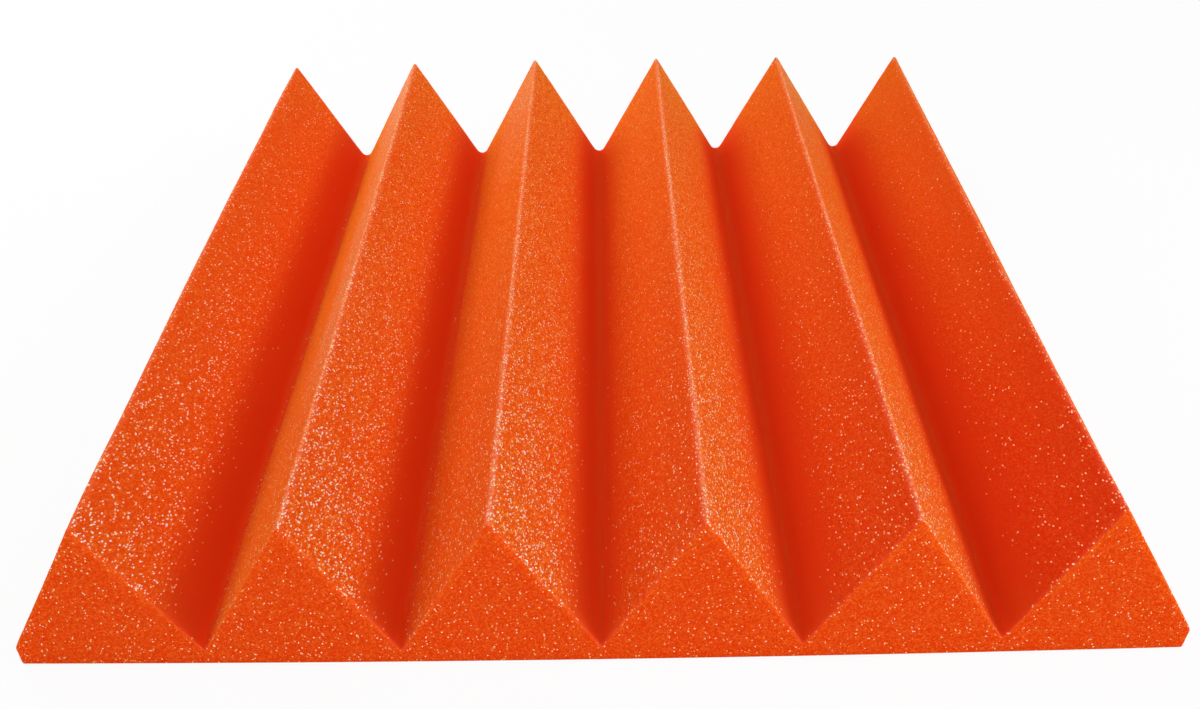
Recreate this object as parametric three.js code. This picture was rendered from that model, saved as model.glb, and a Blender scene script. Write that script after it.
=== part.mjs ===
// Acoustic foam panel: one square wall tile of open-cell polyurethane foam with wedge ridges.
//
// Millimetres. X runs across the ridges, Y along them, and Z out of the wall.
// The origin is the centre of the flat back, which is glued to the wall.
//
// A contour saw cuts two such tiles at once from one slab, so the ridges and the valleys have nearly the
// same shape. The wave of the saw is the whole design: the tile is that wave, cut square on four sides.

import * as THREE from "three";

// The tile as it is trimmed from the wave
const tileWidth = 300; // across the ridges
const tileLength = 300; // along the ridges
const baseThickness = 5; // solid foam left under the valleys
const sideHeight = 6; // the upright face at the left and at the right

// One wave of the saw
const ridgePitch = 51; // crest to crest
const ridgeHeight = 41; // valley floor to crest
const rootRadius = 1.2; // the blade turns in the valley almost on the spot
const crestRadius = 0.7; // soft foam never keeps a true edge

// How finely the two arcs are drawn
const rootArcSteps = 6;
const crestArcSteps = 4;

// The flank is the straight line that touches both arcs. Its slope follows from the line between their
// centres, turned by the angle whose sine is the sum of the radii over the distance of the centres.
const centreRun = ridgePitch / 2;
const centreRise = ridgeHeight - crestRadius - rootRadius;
const flankAngle =
  Math.atan2(centreRise, centreRun) +
  Math.asin((rootRadius + crestRadius) / Math.hypot(centreRun, centreRise));

// Where the arcs end and the straight flank begins, measured from the middle of the valley
const rootReach = rootRadius * Math.sin(flankAngle);
const crestReach = crestRadius * Math.sin(flankAngle);
const rootRise = rootRadius * (1 - Math.cos(flankAngle));

// The height of the saw's wave above the valley floor, at a distance from the middle of the nearest valley.
function waveHeight(fromValley) {
  const fromCrest = ridgePitch / 2 - fromValley;
  if (fromValley < rootReach) {
    return rootRadius - Math.sqrt(rootRadius ** 2 - fromValley ** 2);
  }
  if (fromCrest < crestReach) {
    return ridgeHeight - crestRadius + Math.sqrt(crestRadius ** 2 - fromCrest ** 2);
  }
  return rootRise + (fromValley - rootReach) * Math.tan(flankAngle);
}

// The places where one wave needs a point, measured from its valley's middle. They run from one crest
// down to the valley and up again to just short of the next crest, along each arc evenly by angle.
function waveStops() {
  const rising = [];
  for (let i = 1; i <= rootArcSteps; i++) {
    rising.push(rootRadius * Math.sin((flankAngle * i) / rootArcSteps));
  }
  for (let i = crestArcSteps; i >= 1; i--) {
    rising.push(ridgePitch / 2 - crestRadius * Math.sin((flankAngle * i) / crestArcSteps));
  }
  const falling = rising.map((stop) => -stop).reverse();
  return [-ridgePitch / 2, ...falling, 0, ...rising];
}

// The top of the tile's section, from its left side to its right one. The ridges stand centred on the
// tile. The side cuts stop the wave short of its outermost valleys, so the first and the last ridge
// have a slightly steeper outer flank, which runs straight down to the low upright side face.
function waveOutline() {
  const side = tileWidth / 2;
  const ridgeCount = Math.round(tileWidth / ridgePitch);
  const lastCrest = ((ridgeCount - 1) * ridgePitch) / 2;
  const outline = [new THREE.Vector2(-side, sideHeight)];
  for (let valley = 0; valley <= ridgeCount; valley++) {
    const middle = (valley - ridgeCount / 2) * ridgePitch;
    for (const stop of waveStops()) {
      const pastCrest = Math.abs(middle + stop) - lastCrest;
      if (pastCrest < ridgePitch / 4) {
        outline.push(new THREE.Vector2(middle + stop, baseThickness + waveHeight(Math.abs(stop))));
      }
    }
  }
  outline.push(new THREE.Vector2(side, sideHeight));
  return outline;
}

// The section of the tile: the wave on top and the flat back under it.
function tileSection() {
  const side = tileWidth / 2;
  const section = new THREE.Shape();
  section.moveTo(-side, 0);
  section.lineTo(side, 0);
  for (const point of waveOutline().reverse()) {
    section.lineTo(point.x, point.y);
  }
  section.closePath();
  return section;
}

function foamPanel() {
  const geometry = new THREE.ExtrudeGeometry(tileSection(), {
    depth: tileLength,
    steps: 1,
    bevelEnabled: false,
  });
  // The extrusion runs along Z. It is centred and laid down, so that the ridges run along Y.
  geometry.translate(0, 0, -tileLength / 2);
  geometry.rotateX(Math.PI / 2);
  const material = new THREE.MeshStandardMaterial({
    color: 0xe2500f,
    roughness: 0.95,
    metalness: 0,
  });
  const mesh = new THREE.Mesh(geometry, material);
  mesh.name = "foam_panel";
  return mesh;
}

const panel = new THREE.Group();
panel.name = "acoustic_foam_panel";
panel.add(foamPanel());

export default panel;
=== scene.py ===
# %% [markdown]
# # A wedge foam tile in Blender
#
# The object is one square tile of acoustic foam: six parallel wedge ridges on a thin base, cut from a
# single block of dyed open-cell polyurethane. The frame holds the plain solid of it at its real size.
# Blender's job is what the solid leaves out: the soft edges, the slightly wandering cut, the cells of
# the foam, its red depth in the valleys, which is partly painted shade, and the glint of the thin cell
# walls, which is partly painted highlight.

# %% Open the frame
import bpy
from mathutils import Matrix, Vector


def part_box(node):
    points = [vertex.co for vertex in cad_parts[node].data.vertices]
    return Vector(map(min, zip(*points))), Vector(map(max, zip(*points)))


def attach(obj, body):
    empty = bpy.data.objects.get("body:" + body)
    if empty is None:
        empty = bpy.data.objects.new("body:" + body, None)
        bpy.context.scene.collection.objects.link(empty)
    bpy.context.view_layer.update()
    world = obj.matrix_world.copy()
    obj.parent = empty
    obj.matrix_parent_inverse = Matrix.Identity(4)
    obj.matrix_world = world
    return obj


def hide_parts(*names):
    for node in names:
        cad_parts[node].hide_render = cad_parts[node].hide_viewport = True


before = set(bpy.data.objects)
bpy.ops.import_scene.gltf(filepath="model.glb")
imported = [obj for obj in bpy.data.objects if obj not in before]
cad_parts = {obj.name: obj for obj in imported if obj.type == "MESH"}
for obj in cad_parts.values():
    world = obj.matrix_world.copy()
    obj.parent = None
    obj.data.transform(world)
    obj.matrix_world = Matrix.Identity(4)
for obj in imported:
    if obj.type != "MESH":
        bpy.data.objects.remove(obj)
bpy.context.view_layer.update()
low_corner, high_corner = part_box("foam_panel")
print("tile box in metres:", tuple(low_corner), tuple(high_corner))

# %% [markdown]
# ## The camera
#
# The picture looks along the ridges from in front of the tile and about 26 cm above the table. The
# place, the turn and the lens were found together: they are the ones at which the corners of the tile
# and the ends of its ridges fall where the photograph has them. The lens stays a plain pinhole with no
# shift and no blur, so that other views can move it.

# %% Camera
import bpy
from math import radians

MILLIMETRE = 0.001
CAMERA_PLACE = (0.0031, -0.4018, 0.2587)
CAMERA_TURN_DEGREES = (56.75, 0.94, -0.21)
LENS_MM = 40.92

scene = bpy.context.scene
camera = bpy.data.objects.new("camera", bpy.data.cameras.new("camera"))
camera.data.lens = LENS_MM
camera.location = CAMERA_PLACE
camera.rotation_euler = [radians(turn) for turn in CAMERA_TURN_DEGREES]
scene.collection.objects.link(camera)
scene.camera = camera
scene.view_settings.view_transform = "Standard"
print("camera stands", round(-CAMERA_PLACE[1] / MILLIMETRE), "mm in front of the tile's middle")

# %% [markdown]
# ## The table
#
# The tile lies on a white table, and its picture shows nothing but white around it. A table that is
# only painted white turns grey wherever the lamps are weaker, and stronger lamps would bleach the foam.
# So this one has two faces. To the foam it is a matte white sheet that throws light back. To the camera
# it is mostly plain white, with a little of the lit sheet mixed in, which keeps the tile's shadow. Light
# Path tells the two apart: it says what kind of ray has just arrived.

# %% Helpers for node trees
def add_node(tree, kind, **settings):
    """A new node of this kind in the tree, with these of its options set."""
    node = tree.nodes.new(kind)
    for name, value in settings.items():
        setattr(node, name, value)
    return node


def fresh_tree(owner):
    """The owner's node tree, emptied."""
    owner.use_nodes = True
    owner.node_tree.nodes.clear()
    return owner.node_tree


def seen_share(tree):
    """1 where the picture shows this straight, in a gloss or through glass, and 0 where it only lights."""
    path = add_node(tree, "ShaderNodeLightPath")
    share = path.outputs["Is Camera Ray"]
    for ray in ("Is Glossy Ray", "Is Transmission Ray"):
        either = add_node(tree, "ShaderNodeMath", operation="MAXIMUM")
        tree.links.new(share, either.inputs[0])
        tree.links.new(path.outputs[ray], either.inputs[1])
        share = either.outputs[0]
    return share


# %% Table
TABLE_SIDE = 8.0
TABLE_DROP = 0.0002  # keeps the table's face clear of the foam's back
TABLE_WHITE = (0.92, 0.92, 0.92, 1.0)
TABLE_GLOW_SHARE = 0.93  # how much of what the camera sees of the table is plain white

table_material = bpy.data.materials.new("white table")
tree = fresh_tree(table_material)
matte = add_node(tree, "ShaderNodeBsdfDiffuse")
matte.inputs["Color"].default_value = TABLE_WHITE
glow = add_node(tree, "ShaderNodeEmission")
glow_share = add_node(tree, "ShaderNodeMath", operation="MULTIPLY")
tree.links.new(seen_share(tree), glow_share.inputs[0])
glow_share.inputs[1].default_value = TABLE_GLOW_SHARE
blend = add_node(tree, "ShaderNodeMixShader")
tree.links.new(glow_share.outputs[0], blend.inputs["Fac"])
tree.links.new(matte.outputs[0], blend.inputs[1])
tree.links.new(glow.outputs[0], blend.inputs[2])
surface = add_node(tree, "ShaderNodeOutputMaterial")
tree.links.new(blend.outputs[0], surface.inputs["Surface"])

bpy.ops.mesh.primitive_plane_add(size=TABLE_SIDE, location=(0, 0, -TABLE_DROP))
table = bpy.context.object
table.name = "table"
table.data.materials.append(table_material)
print("table laid", TABLE_DROP / MILLIMETRE, "mm under the tile")

# %% [markdown]
# ## The studio light
#
# Three softboxes and an even sky stand in for the studio. Light from the sides is what shows a ridge:
# each box lights the flanks that face it, and the next ridge keeps its light off the valley floor. The
# right box is the smallest, because a small lamp makes crisp glints, and most of the picture's glints
# lie on flanks that face right. The left one is larger and a little behind the tile. The front one is
# low and lights the near cut. The sky lights the foam evenly from all around, and where a low camera
# looks past the table it shows as plain white.

# %% Softboxes
from math import cos, sin
from mathutils import Vector

RIGHT_BOX = {"turn": 68, "height": 43, "distance": 0.70, "size": 0.16, "watts": 1.20}
LEFT_BOX = {"turn": -130, "height": 35, "distance": 0.70, "size": 0.40, "watts": 1.43}
FRONT_BOX = {"turn": 0, "height": 14, "distance": 0.70, "size": 0.40, "watts": 0.67}


def softbox(name, turn, height, distance, size, watts):
    """A round lamp facing the tile's middle: turned this far round from the front, and this far up."""
    lamp = bpy.data.lights.new(name, "AREA")
    lamp.shape = "DISK"
    lamp.size = size
    lamp.energy = watts
    holder = bpy.data.objects.new(name, lamp)
    level = cos(radians(height))
    direction = Vector((level * sin(radians(turn)), -level * cos(radians(turn)), sin(radians(height))))
    holder.location = direction * distance
    holder.rotation_euler = direction.to_track_quat("Z", "Y").to_euler()
    scene.collection.objects.link(holder)


softbox("right softbox", **RIGHT_BOX)
softbox("left softbox", **LEFT_BOX)
softbox("front softbox", **FRONT_BOX)
print("softboxes of", RIGHT_BOX["watts"], LEFT_BOX["watts"], "and", FRONT_BOX["watts"], "watts")

# %% Sky
PLAIN_WHITE = (1.0, 1.0, 1.0, 1.0)
SKY_LEVEL = 0.56  # as a light
SKY_WHITE = 1.0  # as a background

sky = bpy.data.worlds.new("studio")
scene.world = sky
tree = fresh_tree(sky)
even_light = add_node(tree, "ShaderNodeBackground")
even_light.inputs["Color"].default_value = PLAIN_WHITE
sky_strength = add_node(tree, "ShaderNodeMapRange")
sky_strength.inputs["To Min"].default_value = SKY_LEVEL
sky_strength.inputs["To Max"].default_value = SKY_WHITE
tree.links.new(seen_share(tree), sky_strength.inputs["Value"])
tree.links.new(sky_strength.outputs["Result"], even_light.inputs["Strength"])
sky_output = add_node(tree, "ShaderNodeOutputWorld")
tree.links.new(even_light.outputs[0], sky_output.inputs["Surface"])
print("sky lights at", SKY_LEVEL, "and shows at", SKY_WHITE)

# %% [markdown]
# ## The wave of the saw
#
# The top of the tile is one wave, repeated: a tight valley, a straight flank, a nearly sharp crest, a
# flank down again. The flank is the line that touches both arcs, so its slope follows from the pitch,
# the height and the two radii. It could be drawn as a curve and extruded, but a formula gives the
# height anywhere on the tile, also where the valley's radius grows on its way to the far end. The two
# outermost flanks run straight down to the low side faces.

# %% Wave sizes
import numpy as np

RIDGE_COUNT = 6
RIDGE_PITCH = 0.051
BASE_THICKNESS = 0.005
SIDE_HEIGHT = 0.006

side = (high_corner[0] - low_corner[0]) / 2
end = (high_corner[1] - low_corner[1]) / 2
tile_thickness = high_corner[2] - low_corner[2]
ridge_height = tile_thickness - BASE_THICKNESS
last_crest = (RIDGE_COUNT - 1) / 2 * RIDGE_PITCH
print("ridges of", round(ridge_height / MILLIMETRE, 1), "mm on", BASE_THICKNESS / MILLIMETRE, "mm of base")

# %% Height of the wave
CREST_RADIUS = 0.0007


def wave_height(from_valley, root_radius):
    """Heights above the valley floor at these distances from the middle of the nearest valley."""
    from_crest = RIDGE_PITCH / 2 - from_valley
    rise = ridge_height - CREST_RADIUS - root_radius
    slope = np.arctan2(rise, RIDGE_PITCH / 2)
    slope += np.arcsin((root_radius + CREST_RADIUS) / np.hypot(RIDGE_PITCH / 2, rise))
    root = root_radius - np.sqrt(np.maximum(root_radius**2 - from_valley**2, 0))
    crest = ridge_height - CREST_RADIUS + np.sqrt(np.maximum(CREST_RADIUS**2 - from_crest**2, 0))
    flank = root_radius * (1 - np.cos(slope)) + (from_valley - root_radius * np.sin(slope)) * np.tan(slope)
    height = np.where(from_crest < CREST_RADIUS * np.sin(slope), crest, flank)
    return np.where(from_valley < root_radius * np.sin(slope), root, height)


def section_height(x, root_radius):
    """Heights above the valley floor at these places across the tile, outer flanks included."""
    pitches = x / RIDGE_PITCH + RIDGE_COUNT / 2
    height = wave_height(np.abs(pitches - np.round(pitches)) * RIDGE_PITCH, root_radius)
    shoulder = last_crest + CREST_RADIUS
    shoulder_height = wave_height(np.array(RIDGE_PITCH / 2 - CREST_RADIUS), root_radius)
    side_height = SIDE_HEIGHT - BASE_THICKNESS
    share = (np.abs(x) - shoulder) / (side - shoulder)
    outer = shoulder_height + (side_height - shoulder_height) * share
    return np.where(np.abs(x) > shoulder, outer, height)


low, top = (section_height(np.array(x), CREST_RADIUS) / MILLIMETRE for x in (0.0, last_crest))
print("the wave runs from", round(float(low), 2), "to", round(float(top), 2), "mm above the valley floor")

# %% [markdown]
# ## The grid of the block
#
# The mesh starts as a plain block whose faces are ruled by three sets of lines, close together where
# the form bends: across the tile they follow the arcs of the wave, and at every cut edge there are a
# few lines for its rounding. A block like this stays one closed skin, all quads but for its back, and
# any shape can then be given to it by moving its points. A boolean cut would leave slivers.

# %% Grid lines
EDGE_RADIUS = 0.0006  # foam gives way under the blade, so no cut edge is sharp
EDGE_STEPS = 3
EDGE_CLEARANCE = 1.2  # edge radii that the inner lines stay away from an edge
VALLEY_LINES_MM = (0, 0.25, 0.5, 0.8, 1.2, 1.7, 2.3)  # from the valley's middle
CREST_LINES_MM = (0, 0.2, 0.4, 0.6, 0.9, 1.4)  # from the crest
FLANK_STEPS = 20
ROW_SPACING = 0.0017
LAYERS = 9


def half_wave_stops():
    """Distances from a valley's middle up to the next crest's, dense in both arcs."""
    root = np.array(VALLEY_LINES_MM) * MILLIMETRE
    crest = RIDGE_PITCH / 2 - np.array(CREST_LINES_MM[::-1]) * MILLIMETRE
    flank = np.linspace(root[-1], crest[0], FLANK_STEPS + 1)
    return np.concatenate([root[:-1], flank, crest[1:]])


def edge_lines(low, high, inner):
    """Lines from low to high: the rounding of both edges, and the inner ones between them."""
    bend = EDGE_RADIUS * (1 - np.cos(np.linspace(0, np.pi / 2, EDGE_STEPS + 1)))
    gap = EDGE_RADIUS * EDGE_CLEARANCE
    kept = [line for line in inner if low + gap < line < high - gap]
    return np.concatenate([low + bend, kept, high - bend[::-1]])


half_stops = half_wave_stops()
wave_stops = np.concatenate([-half_stops[:0:-1], half_stops[:-1]])
valley_middles = (np.arange(RIDGE_COUNT + 1) - RIDGE_COUNT / 2) * RIDGE_PITCH
across = edge_lines(-side, side, sorted(m + s for m in valley_middles for s in wave_stops))
along = edge_lines(-end, end, np.linspace(-end, end, round(2 * end / ROW_SPACING)))
upward = edge_lines(0, tile_thickness, np.linspace(0, tile_thickness, LAYERS))
print("grid lines:", len(across), "across,", len(along), "along,", len(upward), "upward")

# %% Skin of the block
def block_skin(xs, ys, zs):
    """The outer points of the ruled block and its faces: a quad grid on five sides, one face below."""
    right, far, top = len(xs) - 1, len(ys) - 1, len(zs) - 1
    numbers = {}
    places = []
    quads = []

    def point(i, j, k):
        if (i, j, k) not in numbers:
            numbers[i, j, k] = len(places)
            places.append((xs[i], ys[j], zs[k]))
        return numbers[i, j, k]

    def add_quad(*corners):
        quads.append([point(*corner) for corner in corners])

    for i in range(right):
        for j in range(far):
            add_quad((i, j, top), (i + 1, j, top), (i + 1, j + 1, top), (i, j + 1, top))
    for i in range(right):
        for k in range(top):
            add_quad((i, 0, k), (i + 1, 0, k), (i + 1, 0, k + 1), (i, 0, k + 1))
            add_quad((i, far, k), (i, far, k + 1), (i + 1, far, k + 1), (i + 1, far, k))
    for j in range(far):
        for k in range(top):
            add_quad((0, j, k), (0, j, k + 1), (0, j + 1, k + 1), (0, j + 1, k))
            add_quad((right, j, k), (right, j + 1, k), (right, j + 1, k + 1), (right, j, k + 1))
    back = [point(i, 0, 0) for i in range(right)]
    back += [point(right, j, 0) for j in range(far)]
    back += [point(i, far, 0) for i in range(right, 0, -1)]
    back += [point(0, j, 0) for j in range(far, 0, -1)]
    return np.array(places), quads, back[::-1]


points, quads, back = block_skin(across, along, upward)
print("block skin:", len(points), "points,", len(quads), "quads")

# %% [markdown]
# ## Rounding, wave and wander
#
# Three moves turn the block into the tile. The first pulls the points near an edge onto a small
# round. The second lowers the top to the wave: the few layers at the top and at the bottom keep their
# thickness, and what lies between is squeezed. The third lets each crest and valley leave its ruled
# line by up to a millimetre and a half, as a blade does in soft foam. The two outer crests also bow,
# and the near cut is crowned: its middle stands forward of its corners.

# %% Round the edges
inner_low = np.array([-side, -end, 0.0]) + EDGE_RADIUS
inner_high = np.array([side, end, tile_thickness]) - EDGE_RADIUS
core = np.clip(points, inner_low, inner_high)
outward = points - core
reach = np.linalg.norm(outward, axis=1)
points = core + EDGE_RADIUS * outward / reach[:, None]
print("corners cut back by", round(float((reach.max() - EDGE_RADIUS) / MILLIMETRE), 2), "mm")

# %% Lower the top to the wave
NEAR_ROOT_RADIUS = 0.0006
FAR_ROOT_RADIUS = 0.0024

share_far = (points[:, 1] + end) / (2 * end)
root_radius = NEAR_ROOT_RADIUS + (FAR_ROOT_RADIUS - NEAR_ROOT_RADIUS) * np.sqrt(share_far)
lift = section_height(points[:, 0], root_radius)
share_up = lift / ridge_height
top = BASE_THICKNESS + lift
z = points[:, 2].copy()
on_ruled_top = z > tile_thickness - EDGE_RADIUS
on_cut_rim = ~on_ruled_top & (z > tile_thickness - 2 * EDGE_RADIUS)
squeeze = (top - 2 * EDGE_RADIUS) / (tile_thickness - 2 * EDGE_RADIUS)
middle = EDGE_RADIUS + (z - EDGE_RADIUS) * squeeze
points[:, 2] = np.where(on_ruled_top, top - (tile_thickness - z), np.where(z > EDGE_RADIUS, middle, z))
lowest, highest = top.min() / MILLIMETRE, top.max() / MILLIMETRE
print("top lowered to between", round(float(lowest), 2), "and", round(float(highest), 2), "mm")

# %% Name each point's crest and valley
pitches = points[:, 0] / RIDGE_PITCH + RIDGE_COUNT / 2
nearest_valley = np.clip(np.round(pitches), 0, RIDGE_COUNT).astype(int)
nearest_crest = np.clip(np.floor(pitches), 0, RIDGE_COUNT - 1).astype(int)
past_crest = points[:, 0] - (nearest_crest - (RIDGE_COUNT - 1) / 2) * RIDGE_PITCH
print("widest half ridge:", round(float(np.abs(past_crest).max() / MILLIMETRE), 2), "mm")

# %% Let the crests and valleys wander
# Millimetres to the right and up, at the near end and at the far end, in order from the left.
NEAR_CREST_DRIFT = [(-0.3, -0.7), (-0.7, -0.3), (-0.9, 0.2), (0.7, -0.3), (1.5, -0.9), (-0.6, 0.7)]
FAR_CREST_DRIFT = [(0.4, -0.8), (-0.4, 0.0), (-0.4, 0.7), (-0.1, 0.5), (-0.3, 0.3), (-1.3, -0.6)]
NEAR_VALLEY_DRIFT = [(-0.3, 0), (0.3, 0.3), (-0.1, -0.4), (0.3, 0.1), (0.8, 0.0), (0.8, 0.5), (0.9, 0.2)]
FAR_VALLEY_DRIFT = [(0, 0), (0.3, -0.6), (0.2, -0.4), (0.6, -0.2), (0.7, 0.1), (1.3, 0.1), (0, 0)]


def drift(near, far, which):
    """The wander of each point's crest or valley at that point's place along the tile, in metres."""
    near_end = np.array(near)[which]
    far_end = np.array(far)[which]
    return (near_end + (far_end - near_end) * share_far[:, None]) * MILLIMETRE


crest_drift = drift(NEAR_CREST_DRIFT, FAR_CREST_DRIFT, nearest_crest)
valley_drift = drift(NEAR_VALLEY_DRIFT, FAR_VALLEY_DRIFT, nearest_valley)
print("crests drift by up to", round(float(np.abs(crest_drift).max() / MILLIMETRE), 2), "mm")

# %% Bow the outer crests and the near cut
CREST_BOW_MM = np.array([-0.85, 0, 0, 0, 0, -0.6])  # to the right, halfway along
CUT_MIDDLE_FORWARD = 0.00088
CUT_CORNER_BACK = 0.00048

bow = 1 - (2 * share_far - 1) ** 2  # 0 at both ends of a crest and 1 halfway
crest_drift[:, 0] += CREST_BOW_MM[nearest_crest] * MILLIMETRE * bow
wander = valley_drift + (crest_drift - valley_drift) * share_up[:, None]
wander *= (points[:, 2] / top)[:, None]
points[:, 0] += wander[:, 0]
points[:, 2] += wander[:, 1]
crown = (CUT_MIDDLE_FORWARD + CUT_CORNER_BACK) * (points[:, 0] / side) ** 2 - CUT_MIDDLE_FORWARD
points[:, 1] += crown * (1 - share_far)
print("widest wander:", round(float(np.abs(wander).max() / MILLIMETRE), 2), "mm")

# %% [markdown]
# ## What the material has to know
#
# The same foam looks different from place to place: the valleys get little light, flanks that face
# right glint more than the others, and the crests and cut ends catch a pale pink sheen. Noise in a
# material can't know any of that, and painting it would take an image. So each point of the mesh is
# given a few marks, numbers from 0 to about 1 that the material reads by name. They follow the shape,
# so they are right from every side. Mostly they paint light into the colour: painted glints, painted
# sheen and highlights along crests and cut ends, and grain that fades where shade falls. Grain and
# glints rest on how open a point lies: the feet of the flanks are sheltered, less so where a flank
# looks outward, and the outermost flanks have no neighbour at all.

# %% Shelter
# How far the lamps' light reaches down the flanks. It sets where shade is painted into the colour, and
# where the grain and the painted glints fade out.
SHELTER_SHARES = (0.12, 0.48)  # of the ridge's height: wholly sheltered below, open above
RIGHT_SHIFT = 0.06  # how much lower both lie, for each half tile that the flank looks outward
RIGHT_SHIFT_START = -0.2  # half tiles from the middle, where that shift is nothing
LEFT_SHIFT = 0.40
LEFT_SHIFT_START = -0.4


def ramp(values, start, stop):
    """0 up to start, 1 from stop on, and a soft slope between them."""
    share = np.clip((values - start) / (stop - start), 0, 1)
    return share**2 * (3 - 2 * share)


faces_right = past_crest > 0
side_share = points[:, 0] / side
outward_share = np.where(faces_right, side_share, -side_share)
right_shift = RIGHT_SHIFT * (outward_share - RIGHT_SHIFT_START)
left_shift = LEFT_SHIFT * np.maximum(outward_share - LEFT_SHIFT_START, 0)
shift = np.where(faces_right, right_shift, left_shift)
outermost = np.abs(points[:, 0]) > last_crest
open_to_light = np.where(outermost, 1, ramp(share_up + shift, *SHELTER_SHARES))
print("points that lie open:", round(float(open_to_light.mean()), 3), "of all")

# %% Grain and glints, partly painted light
LEFT_GRAIN_SHARE = 0.75  # against the flanks that face right
END_GRAIN_SHARE = 0.8
LEFT_GLINT_SHARE = 0.38
END_GLINT_SHARE = 0.24
FAR_GLINT_SHARE = 0.2  # against the near end
SIDE_GLINT_LOSS = 0.25  # at the right side of the tile, and as much gain at the left
OUTER_LOSS = 0.45  # of grain and glints, at both sides of the tile


def by_face(right, left, cut):
    """One value for flanks that face right, one for the rest, both less in shelter, one for cut ends."""
    return np.where(on_ruled_top, open_to_light * np.where(faces_right, right, left), cut)


outer_keep = 1 - OUTER_LOSS * side_share**2 * on_ruled_top
# The grain is the foam's own cell tone, but it is painted only where light reaches and weaker on flanks
# that face away from the small right lamp, so it is partly painted light.
grain_and_highlights = by_face(1, LEFT_GRAIN_SHARE, END_GRAIN_SHARE) * outer_keep
# The glints mark paints highlights: most on flanks that face the small right lamp and at the near end,
# fewer further off. The coat reads it too, for real reflection.
glints = by_face(1, LEFT_GLINT_SHARE, END_GLINT_SHARE) * outer_keep * (1 - SIDE_GLINT_LOSS * side_share)
glints *= FAR_GLINT_SHARE + (1 - FAR_GLINT_SHARE) * (1 - share_far) ** 2
print("grain_and_highlights", round(float(grain_and_highlights.mean()), 3), "and glints", round(float(glints.mean()), 3), "on average")

# %% Painted highlights along the crests and cut ends
HIGHLIGHT_WIDTH = 0.0011
CREST_HIGHLIGHT = 0.85
OUTER_CREST_HIGHLIGHT = 0.4  # the first and the last crest get less painted highlight
CUT_HIGHLIGHT = 0.2

outer_crest = (nearest_crest == 0) | (nearest_crest == RIDGE_COUNT - 1)
crest_highlight = np.clip(1 - np.abs(past_crest) / HIGHLIGHT_WIDTH, 0, 1)
crest_highlight *= np.where(outer_crest, OUTER_CREST_HIGHLIGHT, CREST_HIGHLIGHT)
from_cut = np.minimum(share_far, 1 - share_far) * 2 * end
cut_highlight = np.clip(1 - from_cut / HIGHLIGHT_WIDTH, 0, 1) * CUT_HIGHLIGHT
print("points on a worn edge:", int((on_ruled_top & (np.maximum(crest_highlight, cut_highlight) > 0)).sum()))

# %% Painted sheen in the far corners
CORNER_ALONG = (0.65, 0.95)  # of the length: no sheen before, all of it beyond
CORNER_RISE = (0.2, 1.0)  # of the ridge's height
LEFT_CORNER_SHEEN = 1.0
LEFT_CORNER_ACROSS = (0.035, -0.12)  # metres from the middle
RIGHT_CORNER_SHEEN = 0.35
RIGHT_CORNER_ACROSS = (0.02, 0.12)
FLANK_SHEEN = 0.3  # on the upper part of the leftmost flanks
SHEEN_ALONG = (0.1, 0.4)
SHEEN_RISE = (0.5, 0.8)
SHEEN_ACROSS = (-0.06, -0.08)


def patch(sheen_level, along, rise, across):
    """This much painted sheen where all three ramps are full: along the tile, up the ridge and across."""
    return sheen_level * ramp(share_far, *along) * ramp(points[:, 0], *across) * ramp(share_up, *rise)


left_corner = patch(LEFT_CORNER_SHEEN, CORNER_ALONG, CORNER_RISE, LEFT_CORNER_ACROSS)
right_corner = patch(RIGHT_CORNER_SHEEN, CORNER_ALONG, CORNER_RISE, RIGHT_CORNER_ACROSS)
sheen = patch(FLANK_SHEEN, SHEEN_ALONG, SHEEN_RISE, SHEEN_ACROSS)
painted_pale_sheen = np.where(faces_right, right_corner, np.maximum(left_corner, sheen))
painted_pale_sheen = np.where(outermost, 0, painted_pale_sheen)
# Painted highlights: the pale pink lines along the crests and cut ends and the pale far corners stand for
# light caught at grazing angles.
painted_sheen = np.where(on_ruled_top, np.maximum.reduce([crest_highlight, cut_highlight, painted_pale_sheen]), 0)
print("painted_sheen", round(float(painted_sheen.mean()), 3), "on average")

# %% [markdown]
# ## Painted light and shade
#
# Foam is dyed through, so its colour has depth: light that goes in comes out a few millimetres on,
# redder than it was, and in the valleys it is thrown from flank to flank and ends as deep red. Lamps
# and scattering make a good part of that. The rest is painted light and shade: how much lighter one
# flank looks than the next, the far end and the feet of the flanks are worked out here for each point
# and stored on the mesh as a colour. Green and blue run together from the most shaded to the most
# lit. Red is nearly full everywhere, so it has a small rule of its own.

# %% Painted light on each flank
# Painted light and shade, on a scale from 0, the most shaded, to 1, the most lit. A few places lie
# past its ends.
RIGHT_PAINTED_LIGHT = 0.68
RIGHT_SIDE_LOSS = 0.25  # towards either side of the tile
RIGHT_FAR_GAIN = 0.35  # halfway across, none at the tile's left side and twice that at its right
FAR_STEEPNESS = 5  # a power, so that the gain comes near the far end only
LEFT_NEAR_PAINTED_LIGHT = 0.38
LEFT_NEAR_FALL = 0.39  # towards the tile's right side
LEFT_NEAR_RISE_LOSS = 0.12
LEFT_FAR_PAINTED_LIGHT = 0.84
LEFT_FAR_FALL = 0.2
FOOT_GAIN = 0.6  # at the feet of left flanks that look outward, most at the far end
FOOT_START = -0.2
FOOT_RISE = (0.1, 0.6)  # of the ridge's height
OUTERMOST_PAINTED_LIGHT = 0.6
CUT_PAINTED_LIGHT = 0.34
CUT_RIM_PAINTED_LIGHT = 0.62  # where the cut face meets the flanks: a painted highlight on the rounded rim

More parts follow.
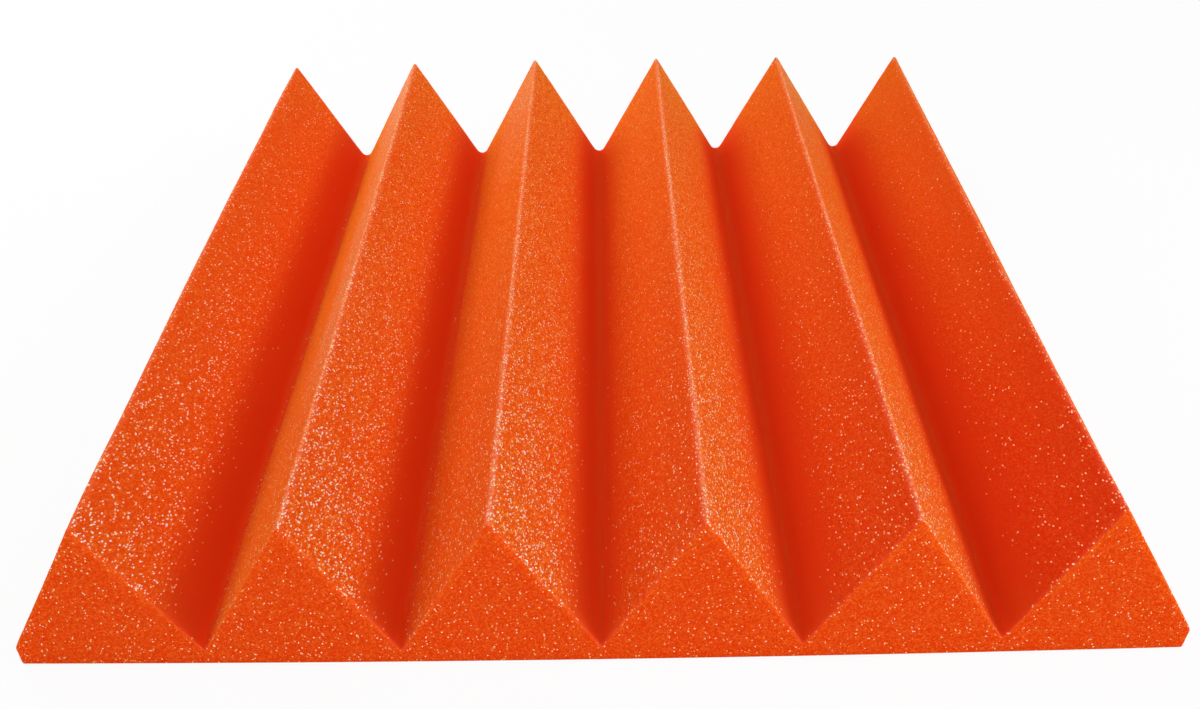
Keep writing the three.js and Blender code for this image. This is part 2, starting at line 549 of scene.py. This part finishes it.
far_gain = RIGHT_FAR_GAIN * share_far**FAR_STEEPNESS * (1 + side_share)
right_painted_light = RIGHT_PAINTED_LIGHT - RIGHT_SIDE_LOSS * side_share**2 + far_gain
left_near_painted_light = LEFT_NEAR_PAINTED_LIGHT - LEFT_NEAR_FALL * side_share - LEFT_NEAR_RISE_LOSS * share_up
left_far_painted_light = LEFT_FAR_PAINTED_LIGHT - LEFT_FAR_FALL * side_share
foot = np.maximum(outward_share - FOOT_START, 0) * np.sqrt(share_far) * (1 - ramp(share_up, *FOOT_RISE))
left_painted_light = left_near_painted_light * (1 - share_far) + left_far_painted_light * share_far + FOOT_GAIN * foot
flank_painted_light = np.where(outermost, OUTERMOST_PAINTED_LIGHT, np.where(faces_right, right_painted_light, left_painted_light))
painted_light = np.where(on_ruled_top, flank_painted_light, np.where(on_cut_rim, CUT_RIM_PAINTED_LIGHT, CUT_PAINTED_LIGHT))
print("dye between", round(float(painted_light.min()), 2), "and", round(float(painted_light.max()), 2))

# %% Green and blue
# Green and blue at the shaded and the lit end of the painted light, and in the painted shade of the
# sheltered feet.
SHADED_GREEN_BLUE = (0.051, 0.0044)
LIT_GREEN_BLUE = (0.154, 0.0068)
SHELTER_SHADE_GREEN_BLUE = (0.070, 0.0080)

painted_shade_share = np.where(on_ruled_top, 1 - open_to_light, 0)[:, None]
green_blue = np.array(SHADED_GREEN_BLUE) + (np.array(LIT_GREEN_BLUE) - np.array(SHADED_GREEN_BLUE)) * painted_light[:, None]
green_blue += (np.array(SHELTER_SHADE_GREEN_BLUE) - green_blue) * painted_shade_share
print("green and blue, on average:", green_blue.mean(axis=0).round(4))

# %% Red
# Red carries painted light and shade too: it rises towards the far end, on right-facing flanks towards the
# tile's right side and on left-facing ones towards its left, and it changes a little at the sheltered feet.
RIGHT_RED = 0.905
RIGHT_FAR_RED_GAIN = 0.075
RIGHT_SIDE_RED_GAIN = 0.07  # towards the tile's right side
RIGHT_SHELTER_RED_LOSS = 0.025
LEFT_RED = 0.885
LEFT_FAR_RED_GAIN = 0.06
LEFT_SIDE_RED_LOSS = 0.12
LEFT_SHELTER_RED_GAIN = 0.03
CUT_RED = 0.885

right_red = RIGHT_RED + RIGHT_FAR_RED_GAIN * share_far + RIGHT_SIDE_RED_GAIN * side_share
right_red -= RIGHT_SHELTER_RED_LOSS * (1 - open_to_light)
left_red = LEFT_RED + LEFT_FAR_RED_GAIN * share_far - LEFT_SIDE_RED_LOSS * side_share
left_red += LEFT_SHELTER_RED_GAIN * (1 - open_to_light)
red = np.where(on_ruled_top, np.where(faces_right, right_red, left_red), CUT_RED)
print("red, on average:", round(float(red.mean()), 3))

# %% Colour of each point
ROOT_SHADE_COLOUR = (1.0, 0.075, 0.0088)  # painted shade of the very bottom of the valleys
ROOT_SHARE = 0.08  # of the ridge's height

colours = np.column_stack([np.minimum(red, 1), green_blue, np.ones(len(points))])
at_root = np.where(on_ruled_top, 1 - ramp(share_up, 0, ROOT_SHARE), 0)[:, None]
colours[:, :3] += (np.array(ROOT_SHADE_COLOUR) - colours[:, :3]) * at_root
print("foam colour between", colours.min(axis=0).round(3)[:3], "and", colours.max(axis=0).round(3)[:3])

# %% [markdown]
# ## The mesh
#
# The points and faces become one closed mesh. The marks and the colour go in as attributes, which is
# how a mesh hands numbers to a material. The quads are shaded smooth. The back stays one flat face,
# because the tile is glued to a wall with it and nothing there bends.

# %% Build the mesh
mesh = bpy.data.meshes.new("foam_tile")
mesh.from_pydata(points.tolist(), [], quads + [back])
mesh.polygons.foreach_set("use_smooth", [True] * len(quads) + [False])
mesh.update()
for name, values in {"grain_and_highlights": grain_and_highlights, "glints": glints, "painted_sheen": painted_sheen}.items():
    mesh.attributes.new(name, "FLOAT", "POINT").data.foreach_set("value", values)
mesh.attributes.new("colour", "FLOAT_COLOR", "POINT").data.foreach_set("color", colours.ravel())
tile = bpy.data.objects.new("foam_tile", mesh)
scene.collection.objects.link(tile)
print("foam tile:", len(mesh.vertices), "points,", len(mesh.polygons), "faces")

# %% [markdown]
# ## The skin of the foam
#
# Cut foam is not smooth: the blade leaves the flanks a little wavy, and it opens cells along the way.
# Both are real shape, so they are moved into the mesh along its normals. A displace modifier would do
# the same, but here the amount can fade out above the back, which stays flat on the table. The noise
# comes from the point's own place, so it is the same in each run.

# %% Displace the skin
from mathutils import noise

WAVINESS = 0.00022
WAVE_SIZE = 0.035
PITTING = 0.00007
PIT_SIZE = 0.0021
BACK_FADE = 0.002

normals = np.zeros(len(mesh.vertices) * 3)
mesh.vertex_normals.foreach_get("vector", normals)
normals = normals.reshape(-1, 3)
amounts = np.zeros(len(points))
for number, place in enumerate(points):
    spot = Vector(place)
    amounts[number] = WAVINESS * noise.noise(spot / WAVE_SIZE) + PITTING * noise.noise(spot / PIT_SIZE)
amounts *= np.clip(points[:, 2] / BACK_FADE, 0, 1)
points += normals * amounts[:, None]
mesh.vertices.foreach_set("co", points.ravel())
mesh.update()
print("skin moved by up to", round(float(np.abs(amounts).max() / MILLIMETRE), 2), "mm")

# %% [markdown]
# ## The cells
#
# Up close the foam is a mass of cells, and each one catches the light in its own way: some look
# redder than the foam around them, a few look lighter and more yellow. That is the grain that the eye
# takes for foam. The lighter, yellower cells stand partly for cell edges that catch the lamps, so the
# grain is partly painted highlight, and it is painted only where light reaches. A Voronoi texture
# splits space into just such cells and draws a random colour for each. It works in the tile's own
# space, so a cell runs on over an edge as it does in cut foam. The cells are stretched, because foam
# bubbles grow longer the way the block rises.

# %% Helpers for the foam's material
foam = bpy.data.materials.new("orange open-cell foam")
tree = fresh_tree(foam)


def join(output, target):
    """Link one socket to another in the material's tree."""
    tree.links.new(output, target)


def math_node(operation, first, second):
    """A Math node. Each of its two values is a number or the output that gives it."""
    node = add_node(tree, "ShaderNodeMath", operation=operation)
    for slot, value in enumerate((first, second)):
        if isinstance(value, (int, float)):
            node.inputs[slot].default_value = value
        else:
            join(value, node.inputs[slot])
    return node.outputs[0]


def blend_node(share, first, second, how="MIX"):
    """A colour blend. Each colour is three numbers or the output that gives it."""
    node = add_node(tree, "ShaderNodeMix", data_type="RGBA", blend_type=how, clamp_factor=False)
    for name, value in (("Factor_Float", share), ("A_Color", first), ("B_Color", second)):
        socket = next(entry for entry in node.inputs if entry.identifier == name)
        if isinstance(value, tuple):
            socket.default_value = (*value, 1.0)
        elif isinstance(value, (int, float)):
            socket.default_value = value
        else:
            join(value, socket)
    return next(entry for entry in node.outputs if entry.identifier == "Result_Color")


def mark(name):
    """The value of one of the mesh's marks, from 0 to about 1."""
    return add_node(tree, "ShaderNodeAttribute", attribute_name=name).outputs["Fac"]


print("empty material:", foam.name)

# %% Cells of the foam
CELL_LENGTH = 2.2  # against their width
RISE_TILT_DEGREES = -30  # of the way the block rose, seen from the tile's side
CELLS_PER_MM = 2.5


def cell_pattern(per_mm):
    """Foam cells, this many to the millimetre across the tile, and three random draws for each."""
    coordinates = add_node(tree, "ShaderNodeTexCoord")
    rise = add_node(tree, "ShaderNodeMapping", vector_type="TEXTURE")
    rise.inputs["Rotation"].default_value = (radians(RISE_TILT_DEGREES), 0, 0)
    rise.inputs["Scale"].default_value = (1, CELL_LENGTH, 1)
    join(coordinates.outputs["Object"], rise.inputs["Vector"])
    pattern = add_node(tree, "ShaderNodeTexVoronoi", feature="F1")
    pattern.inputs["Scale"].default_value = per_mm / MILLIMETRE
    join(rise.outputs[0], pattern.inputs["Vector"])
    draws = add_node(tree, "ShaderNodeSeparateColor")
    join(pattern.outputs["Color"], draws.inputs[0])
    return pattern, draws.outputs


cells, cell_draws = cell_pattern(CELLS_PER_MM)
print("cells of", round(1 / CELLS_PER_MM, 2), "mm across and", round(CELL_LENGTH / CELLS_PER_MM, 2), "long")

# %% Grain and painted cell highlights in the colour
RED_CELL = (0.94, 0.56, 0.38)  # what the reddest cells multiply the colour by
YELLOW_CELL = (1.07, 1.85, 3.3)  # what the yellowest cells multiply it by; they are partly painted highlights
FEW_LIGHT_CELLS = 2.0
NO_GRAIN = (1.0, 1.0, 1.0)

body_colour = add_node(tree, "ShaderNodeAttribute", attribute_name="colour").outputs["Color"]
light_cell = math_node("POWER", cell_draws[0], FEW_LIGHT_CELLS)
grain_and_highlight_colour = blend_node(light_cell, RED_CELL, YELLOW_CELL)
grain_and_highlight_colour = blend_node(mark("grain_and_highlights"), NO_GRAIN, grain_and_highlight_colour)
grained_and_highlit_colour = blend_node(1.0, body_colour, grain_and_highlight_colour, how="MULTIPLY")
print("grain multiplies green by", RED_CELL[1], "to", YELLOW_CELL[1])

# %% [markdown]
# ## Glints and torn edges
#
# Where the saw leaves a thin cell wall standing, it shines like a grain of sugar. Small mirrors laid
# on the mesh would be thousands of stray faces, so the material makes them in a second set of cells.
# Where the foam glints most, one cell in six holds a wall, from one that barely shows to one that is
# white. Each fades from its middle to its rim, and where most of them shine they are bolder. Their
# white is painted into the base colour, so they are painted highlights; the coat over them adds real
# reflection. Along the crests, at the cut ends and in the far corners a pale pink sheen is painted
# into the colour as well, with more glints.

# %% Which cells shine, and how much
WALLS_PER_MM = 2.6
GLINT_SHARE = 0.16  # of the cells hold a wall that shines, where the foam glints most
SHEEN_GLINT_SHARE = 0.3  # as many more where the painted sheen is full
MORE_STRONG_ONES = 0.5  # a power below 1 lifts the weak draws
GLINT_RADIUS = 0.8  # in cells
GLINT_BOLDNESS = 1.3  # how much whiter they get where most of them shine

sheen_mark = mark("painted_sheen")
walls, wall_draws = cell_pattern(WALLS_PER_MM)
chance = math_node("MULTIPLY", mark("glints"), GLINT_SHARE)
chance = math_node("ADD", chance, math_node("MULTIPLY", sheen_mark, SHEEN_GLINT_SHARE))
beyond = math_node("SUBTRACT", math_node("ADD", wall_draws[2], chance), 1.0)
strength = math_node("MAXIMUM", math_node("DIVIDE", beyond, chance), 0.0)
strength = math_node("POWER", strength, MORE_STRONG_ONES)
from_rim = math_node("SUBTRACT", 1.0, math_node("DIVIDE", walls.outputs["Distance"], GLINT_RADIUS))
boldness = math_node("ADD", 1.0, math_node("MULTIPLY", mark("glints"), GLINT_BOLDNESS))
whiteness = math_node("MULTIPLY", strength, math_node("MAXIMUM", from_rim, 0.0))
whiteness = math_node("MINIMUM", math_node("MULTIPLY", whiteness, boldness), 1.0)
print("where the foam glints most, one cell in", round(1 / GLINT_SHARE), "shines")

# %% Colour with painted glints and painted sheen
RIM_STEEPNESS = 2.2
FEW_WHITE_ONES = 1.7  # a power above 1 keeps the weak ones orange
WEAK_PAINTED_GLINT = (1.0, 0.42, 0.03)
FULL_PAINTED_GLINT = (1.0, 1.0, 0.95)
SHEEN_COLOUR = (0.96, 0.31, 0.17)

# The glints and the pale sheen are painted into the base colour: painted highlights.
glint = math_node("MINIMUM", math_node("MULTIPLY", whiteness, RIM_STEEPNESS), 1.0)
shine = math_node("POWER", whiteness, FEW_WHITE_ONES)
patchy_sheen = math_node("MULTIPLY", sheen_mark, cell_draws[1])
edged_colour = blend_node(patchy_sheen, grained_and_highlit_colour, SHEEN_COLOUR)
painted_glint_colour = blend_node(shine, WEAK_PAINTED_GLINT, FULL_PAINTED_GLINT)
final_colour = blend_node(glint, edged_colour, painted_glint_colour)
print("glints run from", WEAK_PAINTED_GLINT, "to", FULL_PAINTED_GLINT)

# %% Turn each wall its own way
GLINT_TILT = 1.2
MIDDLE_DRAW = 0.5  # random draws run from 0 to 1, so this centres them

centred = add_node(tree, "ShaderNodeVectorMath", operation="SUBTRACT")
centred.inputs[1].default_value = (MIDDLE_DRAW, MIDDLE_DRAW, MIDDLE_DRAW)
join(walls.outputs["Color"], centred.inputs[0])
tilt = add_node(tree, "ShaderNodeVectorMath", operation="SCALE")
tilt.inputs["Scale"].default_value = GLINT_TILT
join(centred.outputs[0], tilt.inputs[0])
geometry = add_node(tree, "ShaderNodeNewGeometry")
turned = add_node(tree, "ShaderNodeVectorMath", operation="ADD")
join(geometry.outputs["Normal"], turned.inputs[0])
join(tilt.outputs[0], turned.inputs[1])
wall_normal = add_node(tree, "ShaderNodeVectorMath", operation="NORMALIZE")
join(turned.outputs[0], wall_normal.inputs[0])
print("walls lean by up to", GLINT_TILT * MIDDLE_DRAW, "of the normal's length along each axis")

# %% [markdown]
# ## The shader
#
# Foam is matte and lets light in. Subsurface scattering carries red light about two millimetres and
# the other colours far less, which softens the crests and deepens the valleys. A glint is a clear,
# shiny layer over the matte body, so the walls use the shader's coat: it is there only where a wall
# shines, and it has the wall's own normal. A faint bump from the cells roughens what is too small to
# be mesh.

# %% Foam shader
SCATTER_REACH = 0.0022
SCATTER_RADII = (1.0, 0.18, 0.08)  # of red, green and blue, against the reach
FOAM_ROUGHNESS = 0.85
FOAM_GLOSS = 0.02
WALL_ROUGHNESS = 0.18
WALL_IOR = 2.1
CELL_DEPTH = 0.00025
BUMP_SHARE = 0.3

pits = add_node(tree, "ShaderNodeBump")
pits.inputs["Strength"].default_value = BUMP_SHARE
pits.inputs["Distance"].default_value = CELL_DEPTH
join(cells.outputs["Distance"], pits.inputs["Height"])

skin = add_node(tree, "ShaderNodeBsdfPrincipled")
skin.inputs["Roughness"].default_value = FOAM_ROUGHNESS
skin.inputs["Specular IOR Level"].default_value = FOAM_GLOSS
skin.inputs["Subsurface Weight"].default_value = 1.0
skin.inputs["Subsurface Scale"].default_value = SCATTER_REACH
skin.inputs["Subsurface Radius"].default_value = SCATTER_RADII
skin.inputs["Coat Roughness"].default_value = WALL_ROUGHNESS
skin.inputs["Coat IOR"].default_value = WALL_IOR
join(final_colour, skin.inputs["Base Color"])
join(pits.outputs[0], skin.inputs["Normal"])
join(shine, skin.inputs["Coat Weight"])
join(wall_normal.outputs[0], skin.inputs["Coat Normal"])
surface = add_node(tree, "ShaderNodeOutputMaterial")
join(skin.outputs[0], surface.inputs["Surface"])
mesh.materials.append(foam)
print("foam material:", len(tree.nodes), "nodes")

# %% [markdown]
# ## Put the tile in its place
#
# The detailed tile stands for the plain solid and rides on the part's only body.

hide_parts("foam_panel")
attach(tile, "root")
